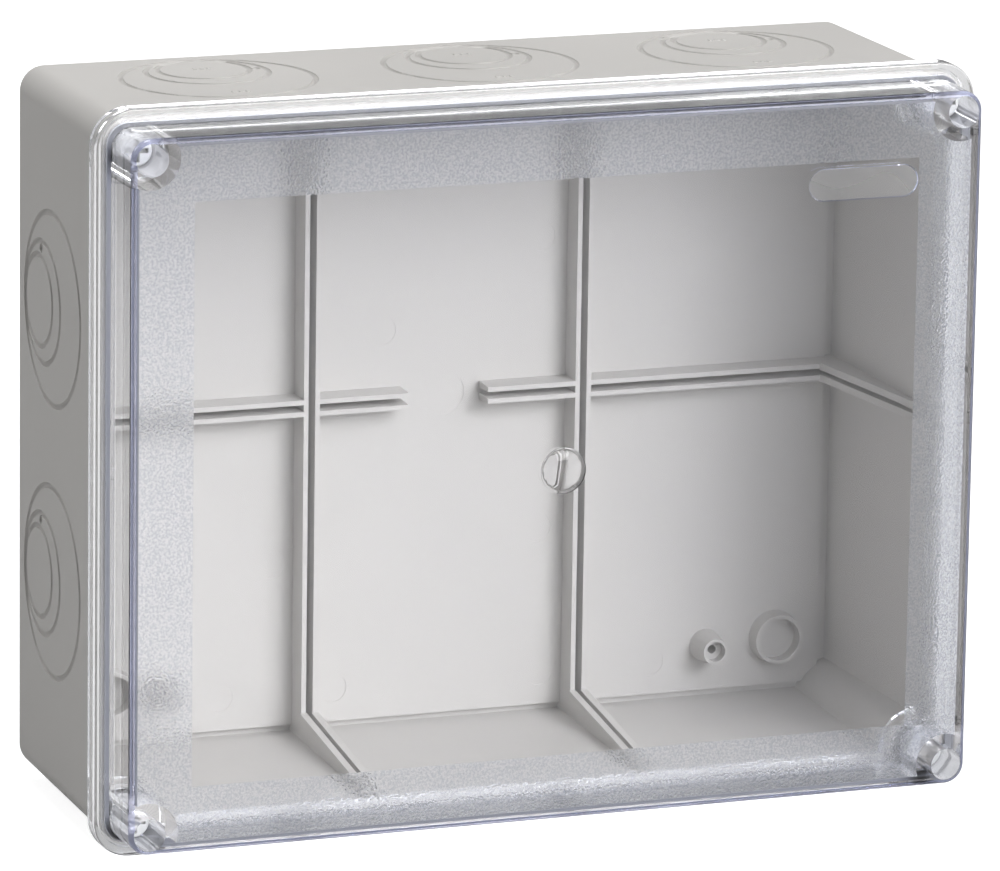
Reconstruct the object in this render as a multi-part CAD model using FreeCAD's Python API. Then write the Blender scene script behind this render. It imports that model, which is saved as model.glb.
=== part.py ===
import FreeCAD, Part
import math
import os
from FreeCAD import Placement, Rotation, Vector

# Surface-mounted electrical junction box: a grey moulded base, a clear lid that seals on the base's
# rim, and four long lid screws.
# Millimetres. X is to the right, Z is up, and the lid faces -Y. The flat back of the base lies in
# the plane Y = 0, centred on X = 0 and Z = 0. Depths are measured forward from that back.

# Overall size
WIDTH = 240.0               # over the lid's skirt
HEIGHT = 195.0
DEPTH = 95.0                # back of the base to the lid's front face
SKIRT_CORNER_R = 10.0       # the lid screws stand on the centres of the skirt's corners
SCREW_X = WIDTH / 2 - SKIRT_CORNER_R
SCREW_Z = HEIGHT / 2 - SKIRT_CORNER_R

# Base shell
BACK_HALF = (115.85, 94.2)  # half width and half height of the shell at its back
RIM_HALF = (117.0, 94.5)    # and at its rim, wider by the mould's draft
RIM_DEPTH = 75.4
BASE_CORNER_R = 6.5
BACK_EDGE_R = 1.5
WALL = 2.4
FLOOR = 3.0                 # thickness of the raised middle of the back wall
GROOVE_FLOOR = 1.2          # thickness left under the groove that runs round that middle
CAVITY_BACK_HALF = (113.45, 90.2)   # clear half width and half height at the groove's floor
PLATFORM_HALF = (110.8, 88.3)
PLATFORM_CORNER_R = 6.0
POST_R = 14.2               # the post of a lid screw is a shallow round bulge across the corner
POST_AXIS = (118.0, 96.0)
SCREW_BORE_R = 1.9
SCREW_BORE_FLOOR = 48.0

# Double ribs on the back wall, each a pair of thin walls with a slot between them
RIB_X = 38.3
RIB_HEIGHT = 7.0
RIB_TIP = 1.3
RIB_FOOT = 1.9
RIB_SLOT = 1.9
RIB_GAP_HALF = 11.2         # the level rib stops this far from the centre
RIB_RUNOUT = 70.0           # depth where a rib's tip meets the side wall
RIB_RUNOUT_STEP = 0.3

# Wall-fixing cups and mounting-plate bosses on the back wall
CUP_X = 97.8
CUP_Z = 74.8
CUP_FOOT_R = 7.4
CUP_TOP_R = 6.8
CUP_HEIGHT = 4.3
CUP_WELL_R = 5.9
CUP_WELL_DEPTH = 4.0
BOSS_X = 77.7
BOSS_Z = 75.7
BOSS_FOOT_R = 4.6
BOSS_TOP_R = 3.5
BOSS_HEIGHT = 8.0
BOSS_MOUTH_R = 2.75
BOSS_MOUTH_DEPTH = 3.0
PILOT_R = 1.2
PILOT_FLOOR = 2.0

# Shallow round marks that the mould leaves on the back wall
GATE_X = 0.9                # both gates sit a little to the right of the centre
GATE_MARK_R = 6.0
EJECTOR_MARK_R = 4.0
MARK_DEPTH = 0.15
EJECTOR_ROW_X = (-61.5, -29.5, 29.5, 61.5)
EJECTOR_ROW_Z = 79.0
EJECTOR_OTHERS = ((-47.0, -43.5), (28.2, -39.0), (28.2, 41.0), (-16.6, 18.0))

# Break-out rings in the side walls: three circular grooves that nearly touch at the back, each
# given as the depth of its centre and its radius
RINGS = ((31.4, 25.2), (22.5, 16.0), (19.3, 12.0))
RING_GROOVE_R = 0.8
RING_PITCH = 71.8           # between rings on the long walls
RING_SIDE_HALF_PITCH = 36.2
RING_DIMPLE = (14.0, 21.0)  # along the wall from the ring's centre, and from the back
RING_DIMPLE_R = 1.3
BREAK_OUT_WALLS = {         # the way each wall faces in X and Z, and where its rings are
    "top": ((0, 1), (-RING_PITCH, 0.0, RING_PITCH)),
    "bottom": ((0, -1), (-RING_PITCH, 0.0, RING_PITCH)),
    "left": ((-1, 0), (-RING_SIDE_HALF_PITCH, RING_SIDE_HALF_PITCH)),
    "right": ((1, 0), (-RING_SIDE_HALF_PITCH, RING_SIDE_HALF_PITCH)),
}

# Lid
SKIRT_BACK = 74.0
SHOULDER = 78.6             # depth of the front of the lid's shoulder
SHOULDER_WALL = 2.0
SKIRT_WALL = 2.0
HOOD_HALF_BACK = (115.7, 93.2)
HOOD_HALF_FRONT = (115.3, 92.8)
HOOD_WALL = 2.4
PANEL_WALL = 2.5
HOOD_EDGE_R = 1.6
SKIRT_EDGE_R = 0.7
SLEEVE_R = 8.0              # inside wall of the sleeve round each lid screw
HIDDEN_CORNER_R = 2.0       # of blocks whose corners the screws' cut-outs take away
LIP_HALF = (113.7, 91.2)    # lip that enters the base
LIP_WALL = 1.5
LIP_BACK = 71.5
SCREW_HOLE_R = 2.1
HEAD_HOLE_R = 4.25
HEAD_SEAT = 78.8
LABEL_CENTRE = (82.3, 70.5)
LABEL_SIZE = (30.5, 8.6)
LABEL_RECESS = 0.3
LABEL_BEVEL = 0.25          # slope at the foot of the recess's sides
GATE_LENS_R = 6.1
GATE_DOME_R = 5.1
GATE_RECESS = 1.2
GATE_BEVEL = 0.5
GATE_DOME_HEIGHT = 1.1

# Gasket between the rim and the shoulder
GASKET_INSET = 0.7          # from the outside of the rim
GASKET_WIDTH = 1.7

# Lid screws
HEAD_R = 3.95
HEAD_FRONT = 82.4
SHANK_R = 1.84
SHANK_END = 54.0
SHANK_TAPER = 2.0
SLOT_WIDTH = 1.2
SLOT_DEPTH = 1.8
HEAD_EDGE = 0.4

CORNERS = {
    "top_left": (-SCREW_X, SCREW_Z),
    "top_right": (SCREW_X, SCREW_Z),
    "bottom_left": (-SCREW_X, -SCREW_Z),
    "bottom_right": (SCREW_X, -SCREW_Z),
}
SIGNS = [(sx, sz) for sx in (-1, 1) for sz in (-1, 1)]
FORWARD = Vector(0, -1, 0)


def rounded_outline(half, radius, depth):
    """Closed wire of a rectangle with round corners, across the box at a depth."""
    hx, hz = half
    k = radius * (1 - math.sqrt(0.5))
    y = -depth
    edges = []
    sides = [
        ((-hx + radius, -hz), (hx - radius, -hz), (hx - k, -hz + k), (hx, -hz + radius)),
        ((hx, -hz + radius), (hx, hz - radius), (hx - k, hz - k), (hx - radius, hz)),
        ((hx - radius, hz), (-hx + radius, hz), (-hx + k, hz - k), (-hx, hz - radius)),
        ((-hx, hz - radius), (-hx, -hz + radius), (-hx + k, -hz + k), (-hx + radius, -hz)),
    ]
    for start, end, bulge, corner_end in sides:
        a, b, c, d = [Vector(x, y, z) for x, z in (start, end, bulge, corner_end)]
        edges.append(Part.makeLine(a, b))
        edges.append(Part.Arc(b, c, d).toShape())
    return Part.Wire(edges)


def prism(half, radius, back, front):
    """Straight block with round corners between two depths."""
    face = Part.Face(rounded_outline(half, radius, back))
    return face.extrude(FORWARD * (front - back))


def drafted(half_back, radius_back, back, half_front, radius_front, front):
    """Block with round corners whose sides lean by the mould's draft."""
    wires = [rounded_outline(half_back, radius_back, back),
             rounded_outline(half_front, radius_front, front)]
    return Part.makeLoft(wires, True, True)


def peg(x, z, radius, back, front):
    return Part.makeCylinder(radius, front - back, Vector(x, -back, z), FORWARD)


def taper(x, z, radius_back, radius_front, back, front):
    return Part.makeCone(radius_back, radius_front, front - back, Vector(x, -back, z), FORWARD)


def at_screws(radius, back, front):
    """One peg at each lid screw, as a list."""
    return [peg(x, z, radius, back, front) for x, z in CORNERS.values()]


def shrink(half, by):
    return (half[0] - by, half[1] - by)


def edges_at_depth(shape, depth):
    """Edges that lie wholly in the plane at a depth."""
    found = []
    for edge in shape.Edges:
        box = edge.BoundBox
        if abs(box.YMin + depth) < 0.01 and abs(box.YMax + depth) < 0.01:
            found.append(edge)
    return found


def along_wall(points, left, width):
    """Plate between left and left + width in X, outlined by (depth, Z) points."""
    corners = [Vector(left, -depth, z) for depth, z in points]
    outline = Part.makePolygon(corners + corners[:1])
    return Part.Face(outline).extrude(Vector(width, 0, 0))


def inside_wall(axis, depth):
    """Half the clear width (axis 0) or height (axis 1) inside the base at a depth."""
    rise = RIM_HALF[axis] - WALL - CAVITY_BACK_HALF[axis]
    return CAVITY_BACK_HALF[axis] + rise * (depth - GROOVE_FLOOR) / (RIM_DEPTH - GROOVE_FLOOR)


def rib_profile(axis):
    """Outline of a rib that crosses the back wall and runs out up the walls at its two ends."""
    tip = FLOOR + RIB_HEIGHT
    root = GROOVE_FLOOR - 0.4
    buried = inside_wall(axis, RIB_RUNOUT) + 1
    half = [(root, buried), (RIB_RUNOUT, buried),
            (RIB_RUNOUT, inside_wall(axis, RIB_RUNOUT) - RIB_RUNOUT_STEP),
            (tip, inside_wall(axis, tip) - RIB_HEIGHT)]
    return half + [(depth, -z) for depth, z in reversed(half)]


def drafted_rib(profile, centre):
    """One thin wall of a double rib, thicker at its foot by the mould's draft."""
    plate = along_wall(profile, centre - RIB_FOOT / 2, RIB_FOOT)
    tip = FLOOR + RIB_HEIGHT
    trim = (RIB_FOOT - RIB_TIP) / 2
    for side in (-1, 1):
        outer = centre + side * RIB_FOOT / 2
        corners = [Vector(outer, -FLOOR, -WIDTH), Vector(outer, -tip, -WIDTH),
                   Vector(outer - side * trim, -tip, -WIDTH)]
        sliver = Part.Face(Part.makePolygon(corners + corners[:1]))
        plate = plate.cut(sliver.extrude(Vector(0, 0, 2 * WIDTH)))
    return plate


def double_rib(axis, centre):
    offset = (RIB_SLOT + RIB_TIP) / 2
    return [drafted_rib(rib_profile(axis), centre + side * offset) for side in (-1, 1)]


def ribs():
    """Two upright double ribs, and a level one that is broken at the centre."""
    upright = double_rib(1, -RIB_X) + double_rib(1, RIB_X)
    level = double_rib(0, 0.0)
    for wall in level:
        wall.rotate(Vector(0, 0, 0), Vector(0, 1, 0), 90)
    reach = FLOOR + RIB_HEIGHT
    gap = Part.makeBox(2 * RIB_GAP_HALF, reach, HEIGHT / 4,
                       Vector(-RIB_GAP_HALF, -reach, -HEIGHT / 8))
    slots = [Part.makeBox(RIB_SLOT, reach, HEIGHT / 4,
                          Vector(side * RIB_X - RIB_SLOT / 2, -reach, -HEIGHT / 8))
             for side in (-1, 1)]
    return upright + [wall.cut([gap] + slots) for wall in level]


def wall_frame(facing, along, depth):
    """Placement on the outside of a drafted side wall, with its local Z pointing out."""
    fx, fz = facing
    axis = 0 if fx else 1
    rise = RIM_HALF[axis] - BACK_HALF[axis]
    surface = BACK_HALF[axis] + rise * depth / RIM_DEPTH
    spot = Vector(fx * surface + abs(fz) * along, -depth, fz * surface + abs(fx) * along)
    return Placement(spot, Rotation(Vector(0, 0, 1), Vector(fx, rise / RIM_DEPTH, fz)))


def break_out(facing, along):
    """Cutters for one set of rings: three grooves and a dimple."""
    cutters = []
    for depth, radius in RINGS:
        ring = Part.makeTorus(radius, RING_GROOVE_R)
        ring.Placement = wall_frame(facing, along, depth)
        cutters.append(ring)
    dimple = Part.makeSphere(RING_DIMPLE_R)
    dimple.Placement = wall_frame(facing, along + RING_DIMPLE[0], RING_DIMPLE[1])
    cutters.append(dimple)
    return cutters


def all_break_outs():
    cutters = []
    for facing, places in BREAK_OUT_WALLS.values():
        for along in places:
            cutters += break_out(facing, along)
    return cutters


def base_box():
    shell = drafted(BACK_HALF, BASE_CORNER_R, 0, RIM_HALF, BASE_CORNER_R, RIM_DEPTH)
    shell = shell.makeFillet(BACK_EDGE_R, edges_at_depth(shell, 0))
    outside = shell.copy()
    inner_r = BASE_CORNER_R - WALL
    cavity = drafted(CAVITY_BACK_HALF, inner_r, GROOVE_FLOOR,
                     shrink(RIM_HALF, WALL), inner_r, RIM_DEPTH + 1)
    shell = shell.cut(cavity)

    platform = prism(PLATFORM_HALF, PLATFORM_CORNER_R, GROOVE_FLOOR - 0.5, FLOOR)
    posts = [peg(sx * POST_AXIS[0], sz * POST_AXIS[1], POST_R, GROOVE_FLOOR - 0.5, RIM_DEPTH)
             for sx, sz in SIGNS]
    posts = [post.common(outside) for post in posts]
    cups = []
    bosses = []
    for sx, sz in SIGNS:
        cups.append(taper(sx * CUP_X, sz * CUP_Z, CUP_FOOT_R, CUP_TOP_R,
                          FLOOR - 0.5, FLOOR + CUP_HEIGHT))
        bosses.append(taper(sx * BOSS_X, sz * BOSS_Z, BOSS_FOOT_R, BOSS_TOP_R,
                            FLOOR - 0.5, FLOOR + BOSS_HEIGHT))
    webs = [rib.common(outside) for rib in ribs()]
    body = shell.fuse([platform] + posts + webs)
    body = body.fuse(cups + bosses)

    cutters = at_screws(SCREW_BORE_R, SCREW_BORE_FLOOR, RIM_DEPTH + 1)
    cup_top = FLOOR + CUP_HEIGHT
    boss_top = FLOOR + BOSS_HEIGHT
    for sx, sz in SIGNS:
        cutters.append(peg(sx * CUP_X, sz * CUP_Z, CUP_WELL_R, cup_top - CUP_WELL_DEPTH,
                           cup_top + 1))
        cutters.append(peg(sx * BOSS_X, sz * BOSS_Z, BOSS_MOUTH_R, boss_top - BOSS_MOUTH_DEPTH,
                           boss_top + 1))
        cutters.append(peg(sx * BOSS_X, sz * BOSS_Z, PILOT_R, PILOT_FLOOR, boss_top))
    cutters.append(peg(GATE_X, 0, GATE_MARK_R, FLOOR - MARK_DEPTH, FLOOR + 1))
    marks = [(x, sz * EJECTOR_ROW_Z) for x in EJECTOR_ROW_X for sz in (-1, 1)]
    for x, z in marks + list(EJECTOR_OTHERS):
        cutters.append(peg(x, z, EJECTOR_MARK_R, FLOOR - MARK_DEPTH, FLOOR + 1))
    body = body.cut(cutters)
    body = body.cut(all_break_outs())
    return body.removeSplitter()


def without_corners(block, radius, back, front):
    return block.cut(at_screws(radius, back, front))


def label_block(back, front):
    """Long label field with full-round ends."""
    half_length = LABEL_SIZE[0] / 2
    radius = LABEL_SIZE[1] / 2
    x, z = LABEL_CENTRE
    straight = half_length - radius
    block = Part.makeBox(2 * straight, front - back, 2 * radius,
                         Vector(x - straight, -front, z - radius))
    ends = [peg(x + side * straight, z, radius, back, front) for side in (-1, 1)]
    return block.fuse(ends).removeSplitter()


def gate_dome():
    """Low spherical dome left in the gate's round recess."""
    sag = GATE_DOME_HEIGHT
    sphere_r = (GATE_DOME_R ** 2 + sag ** 2) / (2 * sag)
    foot = DEPTH - GATE_RECESS
    ball = Part.makeSphere(sphere_r, Vector(GATE_X, -(foot + sag - sphere_r), 0))
    return ball.common(peg(GATE_X, 0, GATE_DOME_R + 0.2, foot - 0.05, DEPTH))


def lid():
    skirt_half = (WIDTH / 2, HEIGHT / 2)
    skirt = prism(skirt_half, SKIRT_CORNER_R, SKIRT_BACK, SHOULDER)
    skirt = skirt.makeFillet(SKIRT_EDGE_R, edges_at_depth(skirt, SHOULDER))
    hood = drafted(HOOD_HALF_BACK, HOOD_HALF_BACK[0] - SCREW_X, SHOULDER - 0.5,
                   HOOD_HALF_FRONT, HOOD_HALF_FRONT[0] - SCREW_X, DEPTH)
    hood = hood.makeFillet(HOOD_EDGE_R, edges_at_depth(hood, DEPTH))
    body = skirt.fuse(hood)

    underside = SHOULDER - SHOULDER_WALL
    rebate = prism(shrink(skirt_half, SKIRT_WALL), SKIRT_CORNER_R - SKIRT_WALL,
                   SKIRT_BACK - 1, underside)
    hollow_half = shrink(HOOD_HALF_FRONT, HOOD_WALL)
    hollow = prism(hollow_half, HIDDEN_CORNER_R, underside - 1, DEPTH - PANEL_WALL)
    hollow = without_corners(hollow, SLEEVE_R, underside - 2, DEPTH)
    body = body.cut([rebate, hollow])

    lip_inside = shrink(LIP_HALF, LIP_WALL)
    lip = prism(LIP_HALF, HIDDEN_CORNER_R, LIP_BACK, underside + 0.2)
    lip = without_corners(lip, SLEEVE_R, LIP_BACK - 1, DEPTH)
    bore = prism(lip_inside, HIDDEN_CORNER_R, LIP_BACK - 1, underside + 1)
    bore = without_corners(bore, SLEEVE_R + LIP_WALL, LIP_BACK - 2, DEPTH)
    body = body.fuse(lip.cut(bore))

    cutters = at_screws(SCREW_HOLE_R, SKIRT_BACK - 1, HEAD_SEAT + 0.5)
    cutters += at_screws(HEAD_HOLE_R, HEAD_SEAT, DEPTH + 1)
    label = label_block(DEPTH - LABEL_RECESS, DEPTH + 1)
    gate = peg(GATE_X, 0, GATE_LENS_R, DEPTH - GATE_RECESS, DEPTH + 1)
    cutters.append(label.makeChamfer(LABEL_BEVEL, edges_at_depth(label, DEPTH - LABEL_RECESS)))
    cutters.append(gate.makeChamfer(GATE_BEVEL, edges_at_depth(gate, DEPTH - GATE_RECESS)))
    body = body.cut(cutters)
    return body.fuse(gate_dome()).removeSplitter()


def lid_gasket():
    """Flat ring along the rim, outside the lid screws."""
    front = SHOULDER - SHOULDER_WALL
    outer_r = BASE_CORNER_R - GASKET_INSET
    outer_half = shrink(RIM_HALF, GASKET_INSET)
    ring = prism(outer_half, outer_r, RIM_DEPTH, front)
    inside = prism(shrink(outer_half, GASKET_WIDTH), outer_r - GASKET_WIDTH, RIM_DEPTH - 1, front + 1)
    return ring.cut(inside)


def lid_screw(x, z):
    head = peg(x, z, HEAD_R, HEAD_SEAT, HEAD_FRONT)
    head = head.makeChamfer(HEAD_EDGE, edges_at_depth(head, HEAD_FRONT))
    shank = peg(x, z, SHANK_R, SHANK_END + SHANK_TAPER, HEAD_SEAT + 1)
    tip = taper(x, z, SHANK_R - 1, SHANK_R, SHANK_END, SHANK_END + SHANK_TAPER)
    cross = []
    for length, width in ((2 * HEAD_R - 2, SLOT_WIDTH), (SLOT_WIDTH, 2 * HEAD_R - 2)):
        corner = Vector(x - length / 2, -HEAD_FRONT - 1, z - width / 2)
        cross.append(Part.makeBox(length, SLOT_DEPTH + 1, width, corner))
    return head.fuse([shank, tip]).cut(cross).removeSplitter()


nodes = {
    "base_box": base_box(),
    "lid": lid(),
    "lid_gasket": lid_gasket(),
}
for name, (x, z) in CORNERS.items():
    nodes["lid_screw_" + name] = lid_screw(x, z)

os.makedirs("parts", exist_ok=True)
for name, shape in nodes.items():
    solids = shape.Solids
    box = shape.BoundBox
    print(name, "solids", len(solids), "valid", shape.isValid(), "volume", round(shape.Volume),
          "box", [round(v, 2) for v in (box.XMin, box.XMax, box.YMin, box.YMax, box.ZMin, box.ZMax)])
    if len(solids) == 1:
        shape = solids[0]
    shape.exportStep("parts/" + name + ".step")
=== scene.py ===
import math

import bmesh
import bpy
from mathutils import Matrix, Vector


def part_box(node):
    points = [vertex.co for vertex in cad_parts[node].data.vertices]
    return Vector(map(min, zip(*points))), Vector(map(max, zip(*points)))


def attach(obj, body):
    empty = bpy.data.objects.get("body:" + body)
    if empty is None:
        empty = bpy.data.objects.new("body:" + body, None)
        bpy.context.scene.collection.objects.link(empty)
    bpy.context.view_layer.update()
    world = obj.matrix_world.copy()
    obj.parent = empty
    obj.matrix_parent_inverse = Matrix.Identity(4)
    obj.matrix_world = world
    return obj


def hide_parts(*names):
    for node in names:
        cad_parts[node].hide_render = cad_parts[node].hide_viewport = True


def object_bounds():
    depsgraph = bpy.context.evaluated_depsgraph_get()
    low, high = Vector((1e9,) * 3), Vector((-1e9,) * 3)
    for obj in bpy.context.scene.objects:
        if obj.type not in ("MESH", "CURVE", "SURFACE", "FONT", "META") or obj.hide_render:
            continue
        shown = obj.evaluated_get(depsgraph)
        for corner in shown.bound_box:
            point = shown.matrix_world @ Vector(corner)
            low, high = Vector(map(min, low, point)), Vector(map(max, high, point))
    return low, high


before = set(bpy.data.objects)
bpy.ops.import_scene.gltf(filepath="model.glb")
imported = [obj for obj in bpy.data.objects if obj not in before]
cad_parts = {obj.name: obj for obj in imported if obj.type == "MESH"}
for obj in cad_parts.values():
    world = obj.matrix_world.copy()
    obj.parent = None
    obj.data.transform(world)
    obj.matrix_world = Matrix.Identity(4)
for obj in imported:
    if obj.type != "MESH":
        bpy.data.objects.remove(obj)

cad_low, cad_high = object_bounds()
MM = 0.001

# Materials ----------------------------------------------------------------------------------------


def new_material(name):
    material = bpy.data.materials.new(name)
    material.use_nodes = True
    tree = material.node_tree
    tree.nodes.clear()
    return material, tree


def add(tree, kind, **values):
    """New node; a key that names an attribute sets it, and any other key sets an input."""
    node = tree.nodes.new(kind)
    for key, value in values.items():
        if hasattr(node, key):
            setattr(node, key, value)
        else:
            node.inputs[key.replace("_", " ")].default_value = value
    return node


def math_node(tree, operation, first, second, clamp=False):
    """A sum over two values, each a number or another node's output."""
    node = tree.nodes.new("ShaderNodeMath")
    node.operation = operation
    node.use_clamp = clamp
    for i, value in enumerate((first, second)):
        if isinstance(value, (int, float)):
            node.inputs[i].default_value = value
        else:
            tree.links.new(value, node.inputs[i])
    return node.outputs[0]


def noise(tree, coords, scale, detail=1.0):
    node = add(tree, "ShaderNodeTexNoise", Scale=scale, Detail=detail, Roughness=0.5)
    tree.links.new(coords, node.inputs["Vector"])
    return node.outputs["Fac"]


def mixed_colour(tree, factor, low, high):
    node = tree.nodes.new("ShaderNodeMix")
    node.data_type = "RGBA"
    tree.links.new(factor, node.inputs[0])
    node.inputs[6].default_value = (*low, 1)
    node.inputs[7].default_value = (*high, 1)
    return node.outputs[2]


def bump(tree, height, depth_mm):
    node = add(tree, "ShaderNodeBump", Strength=1.0, Distance=depth_mm * MM)
    tree.links.new(height, node.inputs["Height"])
    return node.outputs["Normal"]


FLOW_SCALE = 14.0                   # of the slow marks that the melt leaves
GLOSS_SPREAD = 0.14                 # between the dullest and the glossiest flow mark
HAZE_SCALE = 30.0


def moulded_plastic(name, low, high, roughness, grain_mm, grain_depth_mm):
    """Opaque moulded plastic: fine spark-eroded grain, slow flow marks and uneven gloss."""
    material, tree = new_material(name)
    coords = add(tree, "ShaderNodeTexCoord").outputs["Object"]
    shader = add(tree, "ShaderNodeBsdfPrincipled", IOR=1.5)
    flow = noise(tree, coords, FLOW_SCALE)
    grain = noise(tree, coords, 1 / (grain_mm * MM))
    tree.links.new(mixed_colour(tree, flow, low, high), shader.inputs["Base Color"])
    gloss = math_node(tree, "ADD", math_node(tree, "MULTIPLY", flow, GLOSS_SPREAD),
                      roughness - GLOSS_SPREAD / 2)
    tree.links.new(gloss, shader.inputs["Roughness"])
    tree.links.new(bump(tree, grain, grain_depth_mm), shader.inputs["Normal"])
    show(tree, shader.outputs[0])
    return material


def show(tree, surface):
    out = tree.nodes.new("ShaderNodeOutputMaterial")
    tree.links.new(surface, out.inputs["Surface"])


PEBBLE_VALLEY_SHADE = (0.66, 0.69, 0.76)   # painted shade: how far the tint is darkened in the valleys of the pebbled skin
PEBBLE_LOW = 0.34                   # noise at or under this is the bottom of a valley
PEBBLE_CONTRAST = 3.1


def clear_plastic(name, tint, roughness, milk=0.0, pebble_mm=0.0, pebble_depth_mm=0.0):
    """Clear moulded sheet, cloudy by the share milk, with a pebbled skin where a pebble size is given,
    whose valleys are tinted darker as painted shade. Lamps shine through it without bending."""
    material, tree = new_material(name)
    coords = add(tree, "ShaderNodeTexCoord").outputs["Object"]
    shader = add(tree, "ShaderNodeBsdfPrincipled", IOR=1.5)
    shader.inputs["Transmission Weight"].default_value = 1 - milk
    shader.inputs["Base Color"].default_value = (*tint, 1)
    haze = noise(tree, coords, HAZE_SCALE)
    tree.links.new(math_node(tree, "MULTIPLY", haze, 2 * roughness), shader.inputs["Roughness"])
    if pebble_mm:
        pebbles = noise(tree, coords, 1 / (pebble_mm * MM), 0.0)
        # painted shade: the pebbles' valleys get a darker tint than their tops
        valley_shade = tuple(level * share for level, share in zip(tint, PEBBLE_VALLEY_SHADE))
        height = math_node(tree, "SUBTRACT", pebbles, PEBBLE_LOW)
        height = math_node(tree, "MULTIPLY", height, PEBBLE_CONTRAST, clamp=True)
        tree.links.new(mixed_colour(tree, height, valley_shade, tint), shader.inputs["Base Color"])
        tree.links.new(bump(tree, pebbles, pebble_depth_mm), shader.inputs["Normal"])
    lamp_light = add(tree, "ShaderNodeBsdfTransparent")
    lamp_light.inputs["Color"].default_value = (*tint, 1)
    path = tree.nodes.new("ShaderNodeLightPath")
    mix = tree.nodes.new("ShaderNodeMixShader")
    tree.links.new(path.outputs["Is Shadow Ray"], mix.inputs[0])
    tree.links.new(shader.outputs[0], mix.inputs[1])
    tree.links.new(lamp_light.outputs[0], mix.inputs[2])
    show(tree, mix.outputs[0])
    return material


GREY = moulded_plastic("grey_moulded", (0.535, 0.522, 0.505), (0.585, 0.571, 0.553),
                       roughness=0.48, grain_mm=0.8, grain_depth_mm=0.012)
RUBBER = moulded_plastic("gasket_rubber", (0.46, 0.47, 0.51), (0.52, 0.53, 0.57),
                         roughness=0.6, grain_mm=0.5, grain_depth_mm=0.02)
SCREW = moulded_plastic("screw_plastic", (0.62, 0.62, 0.60), (0.70, 0.70, 0.68),
                        roughness=0.42, grain_mm=0.6, grain_depth_mm=0.01)
CLEAR = clear_plastic("clear_lid", (0.98, 0.983, 0.995), roughness=0.01, milk=0.008)
PEBBLED = clear_plastic("pebbled_border", (0.95, 0.96, 0.99), roughness=0.14, milk=0.12,
                        pebble_mm=0.6, pebble_depth_mm=0.08)
LABEL = clear_plastic("label_field", (0.98, 0.983, 0.995), roughness=0.25, milk=0.12)
EDGE = clear_plastic("lid_edge", (0.62, 0.66, 0.985), roughness=0.01)
WELL = clear_plastic("screw_well", (0.95, 0.96, 1.0), roughness=0.06, milk=0.22)


def paint(obj, *materials):
    obj.data.materials.clear()
    for material in materials:
        obj.data.materials.append(material)


for node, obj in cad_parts.items():
    if node == "base_box":
        paint(obj, GREY)
    elif node == "lid_gasket":
        paint(obj, RUBBER)
    elif node.startswith("lid_screw"):
        paint(obj, SCREW)

# The lid ------------------------------------------------------------------------------------------

WINDOW = (98.4 * MM, 76.0 * MM)     # half width and half height of the clear window
LID_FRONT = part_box("lid")[0].y
PANEL_BACK = LID_FRONT + 2.5 * MM   # inside face of the front panel
LABEL_FLOOR = LID_FRONT + 0.3 * MM  # floor of the label's recess
NEAR = 0.02 * MM
EDGE_BACK = LID_FRONT + 1.7 * MM    # the rounded front edge lies in front of this
EDGE_REACH = 110 * MM               # and at least this far out, adding X to Z
EDGE_TILT = 0.99                    # and turns away from -Y by more than this cosine
WELL_REACH = 5.2 * MM               # the screw wells' walls and seats lie within this of the screws
WELD = 0.001 * MM
LID_MATERIALS = {"clear": CLEAR, "pebbled": PEBBLED, "label": LABEL, "edge": EDGE, "well": WELL}
PARTS = {part: i for i, part in enumerate(LID_MATERIALS)}


def corner_normals(work, crease=28.0):
    """A shading normal for every face corner: neighbours within the crease angle are averaged by
    area, so flat faces stay flat and fillets run into them smoothly."""
    limit = math.cos(math.radians(crease))
    areas = {face: face.calc_area() for face in work.faces}
    normals = []
    for face in work.faces:
        for corner in face.loops:
            near = [other for other in corner.vert.link_faces if other.normal.dot(face.normal) > limit]
            total = sum((areas[other] * other.normal for other in near), Vector())
            normals.append(total.normalized() if total.length > 0 else face.normal)
    return normals


def clear_lid():
    """The CAD lid's own shape, with the back of its front panel cut along the window's outline so
    that the border can have a pebbled skin."""
    screws = [sum(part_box(node), Vector()) / 2 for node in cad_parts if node.startswith("lid_screw")]
    work = bmesh.new()
    work.from_mesh(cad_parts["lid"].data)
    bmesh.ops.remove_doubles(work, verts=work.verts, dist=WELD)

    def panel_back():
        return [f for f in work.faces if all(abs(v.co.y - PANEL_BACK) < NEAR for v in f.verts)]

    for axis, reach in ((0, WINDOW[0]), (2, WINDOW[1])):
        for side in (-1, 1):
            aim = Vector()
            aim[axis] = 1
            faces = panel_back()
            geom = faces + list({e for f in faces for e in f.edges} | {v for f in faces for v in f.verts})
            bmesh.ops.bisect_plane(work, geom=geom, dist=1e-7, plane_co=side * reach * aim, plane_no=aim)
    for face in work.faces:
        face.material_index = PARTS["clear"]
        face.smooth = True
        middle = face.calc_center_median()
        if all(abs(v.co.y - LABEL_FLOOR) < NEAR for v in face.verts):
            face.material_index = PARTS["label"]
        elif (middle.y < EDGE_BACK and abs(face.normal.y) < EDGE_TILT
              and abs(middle.x) + abs(middle.z) > EDGE_REACH):
            face.material_index = PARTS["edge"]
        elif min(math.hypot(middle.x - spot.x, middle.z - spot.z) for spot in screws) < WELL_REACH:
            face.material_index = PARTS["well"]
    for face in panel_back():
        middle = face.calc_center_median()
        if abs(middle.x) > WINDOW[0] or abs(middle.z) > WINDOW[1]:
            face.material_index = PARTS["pebbled"]
    normals = corner_normals(work)
    mesh = bpy.data.meshes.new("lid_moulding")
    for material in LID_MATERIALS.values():
        mesh.materials.append(material)
    work.to_mesh(mesh)
    work.free()
    mesh.normals_split_custom_set(normals)
    obj = bpy.data.objects.new("lid_moulding", mesh)
    bpy.context.scene.collection.objects.link(obj)
    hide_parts("lid")
    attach(obj, "lid")


clear_lid()

# Moulded marks beside the break-outs --------------------------------------------------------------

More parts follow.
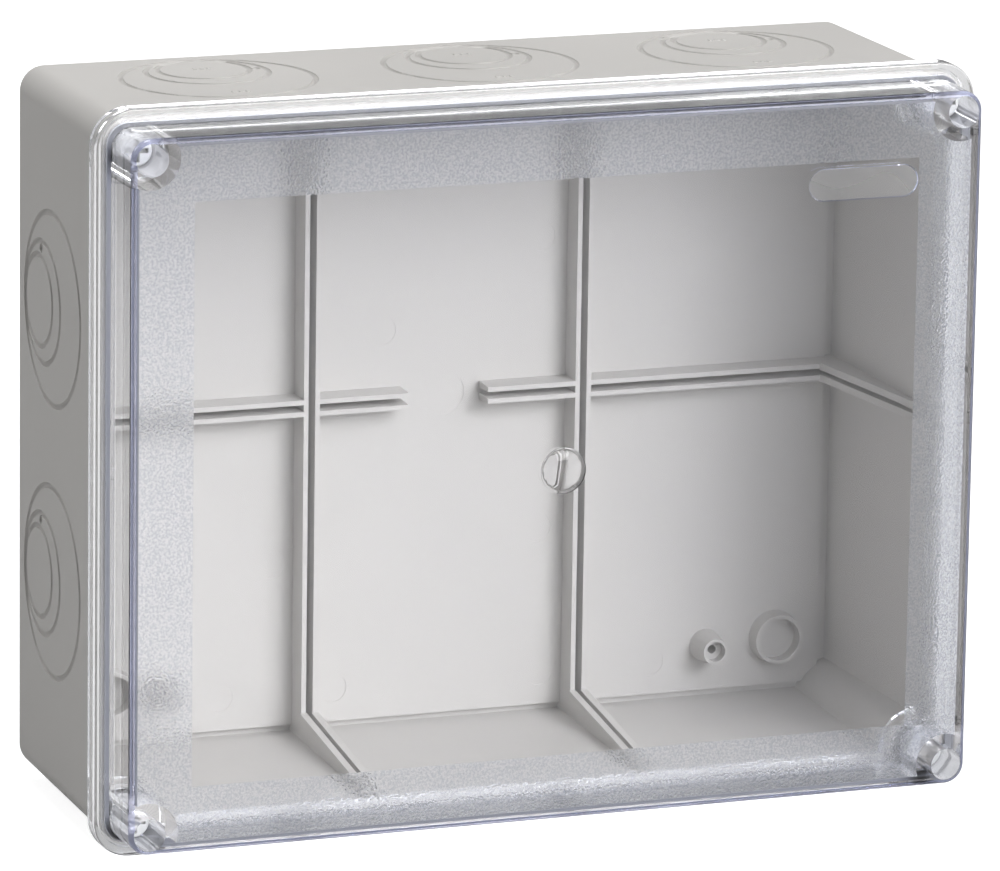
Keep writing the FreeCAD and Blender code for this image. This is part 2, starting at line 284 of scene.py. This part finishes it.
TICK = (1.1 * MM, 1.5 * MM, 0.22 * MM)  # length, width and height
TICK_PITCH = 1.9 * MM
TICK_BEVEL = 0.15 * MM
BREAK_OUTS_X = (-71.8 * MM, 0, 71.8 * MM)
TICK_DEPTHS = (18.0 * MM, 50.0 * MM)
RIM_DEPTH = -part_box("base_box")[0].y
RIM_HALF_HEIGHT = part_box("base_box")[1].z
DRAFT = 0.3 * MM / RIM_DEPTH        # how fast the top and bottom walls spread towards the rim


def moulded_ticks():
    """Three raised ticks at two places on each break-out of the base's top and bottom walls."""
    work = bmesh.new()
    for x in BREAK_OUTS_X:
        for depth in TICK_DEPTHS:
            wall = RIM_HALF_HEIGHT - DRAFT * (RIM_DEPTH - depth)
            for count in (-1, 0, 1):
                for side in (-1, 1):
                    centre = Vector((x + count * TICK_PITCH, -depth, side * wall))
                    made = bmesh.ops.create_cube(work, size=1)["verts"]
                    bmesh.ops.scale(work, verts=made, vec=Vector((TICK[0], TICK[1], 2 * TICK[2])))
                    bmesh.ops.translate(work, verts=made, vec=centre)
    bmesh.ops.bevel(work, geom=list(work.edges), offset=TICK_BEVEL, segments=2, affect="EDGES",
                    profile=0.6)
    mesh = bpy.data.meshes.new("moulded_ticks")
    work.to_mesh(mesh)
    work.free()
    obj = bpy.data.objects.new("moulded_ticks", mesh)
    bpy.context.scene.collection.objects.link(obj)
    mesh.materials.append(GREY)
    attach(obj, "base")


moulded_ticks()

# Floor and light ----------------------------------------------------------------------------------

THROUGH_PLASTIC = 0.4               # how brightly the studio shows through clear plastic
FLOOR_COLOUR = (0.5, 0.5, 0.5)
FLOOR_GLOW = 0.85
AMBIENT = 0.19                      # of the world, where it lights the object
FROM_RIGHT = 0.15                   # how much brighter it is from +X
FROM_BEHIND = 0.08                  # and from +Y
WALLS_GLOW = 0.6
FLOOR_GAP = 0.4 * MM                # keeps the floor off the underside of the box


def seen_plainly(tree, directly):
    """How brightly the camera sees the studio: dimmed through clear plastic, 1 directly if that is
    asked for, and 0 where the studio lights a surface."""
    path = tree.nodes.new("ShaderNodeLightPath")
    seen = math_node(tree, "MULTIPLY", path.outputs["Is Transmission Ray"], THROUGH_PLASTIC)
    if directly:
        seen = math_node(tree, "MAXIMUM", path.outputs["Is Camera Ray"], seen)
    before_surface = math_node(tree, "LESS_THAN", path.outputs["Diffuse Depth"], 0.5)
    return math_node(tree, "MULTIPLY", seen, before_surface)


def paper(name, colour, glow):
    """White backdrop paper, over-exposed where the camera sees it."""
    material, tree = new_material(name)
    shader = add(tree, "ShaderNodeBsdfPrincipled", Roughness=0.9)
    shader.inputs["Base Color"].default_value = (*colour, 1)
    shader.inputs["Emission Color"].default_value = (1, 1, 1, 1)
    tree.links.new(math_node(tree, "MULTIPLY", seen_plainly(tree, True), glow),
                   shader.inputs["Emission Strength"])
    show(tree, shader.outputs[0])
    return material


def sweep(name, half_width, front, back, height, bend, level):
    """Studio floor that curves up into a backdrop."""
    profile = [(front, level)]
    steps = 16
    for i in range(steps + 1):
        turn = math.pi / 2 * i / steps
        profile.append((back - bend + bend * math.sin(turn), level + bend - bend * math.cos(turn)))
    profile.append((back, height))
    mesh = bpy.data.meshes.new(name)
    points = [(side * half_width, y, z) for y, z in profile for side in (-1, 1)]
    faces = [(2 * i, 2 * i + 1, 2 * i + 3, 2 * i + 2) for i in range(len(profile) - 1)]
    mesh.from_pydata(points, [], faces)
    mesh.polygons.foreach_set("use_smooth", [True] * len(mesh.polygons))
    obj = bpy.data.objects.new(name, mesh)
    bpy.context.scene.collection.objects.link(obj)
    obj.data.materials.append(paper(name, FLOOR_COLOUR, FLOOR_GLOW))


sweep("studio_floor", half_width=6.0, front=-5.0, back=3.0, height=5.0, bend=1.5,
      level=cad_low[2] - FLOOR_GAP)


def area_light(name, place, size, power):
    """Soft white light that faces the object."""
    data = bpy.data.lights.new(name, "AREA")
    data.shape = "RECTANGLE"
    data.size, data.size_y = size
    data.energy = power
    obj = bpy.data.objects.new(name, data)
    obj.location = place
    obj.rotation_euler = (-Vector(place)).to_track_quat("-Z", "Y").to_euler()
    bpy.context.scene.collection.objects.link(obj)


area_light("key", (1.3, -1.7, 1.2), size=(1.3, 1.3), power=23)
area_light("front", (0.85, -2.3, 1.05), size=(1.3, 1.3), power=28)
area_light("top", (-0.15, 0.3, 1.5), size=(0.7, 0.5), power=13)
area_light("rim", (-1.5, 0.9, 1.2), size=(0.9, 0.9), power=11)

world = bpy.data.worlds.new("studio")
world.use_nodes = True
studio = world.node_tree
toward = add(studio, "ShaderNodeSeparateXYZ")
studio.links.new(add(studio, "ShaderNodeTexCoord").outputs["Generated"], toward.inputs[0])
brighter = math_node(studio, "ADD", math_node(studio, "MULTIPLY", toward.outputs["X"], FROM_RIGHT),
                     math_node(studio, "MULTIPLY", toward.outputs["Y"], FROM_BEHIND))
studio.nodes["Background"].inputs["Color"].default_value = (1, 1, 1, 1)
walls = math_node(studio, "MULTIPLY", seen_plainly(studio, False), WALLS_GLOW)
level = math_node(studio, "ADD", math_node(studio, "ADD", brighter, AMBIENT), walls)
behind = add(studio, "ShaderNodeLightPath").outputs["Is Camera Ray"]
studio.links.new(math_node(studio, "MAXIMUM", level, behind), studio.nodes["Background"].inputs["Strength"])
bpy.context.scene.world = world
bpy.context.scene.view_settings.view_transform = "Standard"

# Camera -------------------------------------------------------------------------------------------

AZIMUTH = math.radians(-20.503)
ELEVATION = math.radians(13.618)
ROLL = math.radians(0.846)
DISTANCE = 2.132589
LENS = 293.43
SENSOR = 36
AIM = Vector((0, -0.045, 0))
SIDEWAYS, UPWARD = 0.00187, -0.002143   # how far the camera stands off the line through AIM

ahead = Vector((-math.sin(AZIMUTH) * math.cos(ELEVATION), math.cos(AZIMUTH) * math.cos(ELEVATION),
                -math.sin(ELEVATION)))
level_right = Vector((math.cos(AZIMUTH), math.sin(AZIMUTH), 0))
level_up = level_right.cross(ahead)
right = math.cos(ROLL) * level_right + math.sin(ROLL) * level_up
up = math.cos(ROLL) * level_up - math.sin(ROLL) * level_right
camera = bpy.data.objects.new("camera", bpy.data.cameras.new("camera"))
camera.data.sensor_fit = "HORIZONTAL"
camera.data.sensor_width = SENSOR
camera.data.lens = LENS
camera.data.clip_end = 50
turn = Matrix((right, up, -ahead)).transposed().to_4x4()
camera.matrix_world = Matrix.Translation(AIM + SIDEWAYS * right + UPWARD * up - DISTANCE * ahead) @ turn
bpy.context.scene.collection.objects.link(camera)
bpy.context.scene.camera = camera
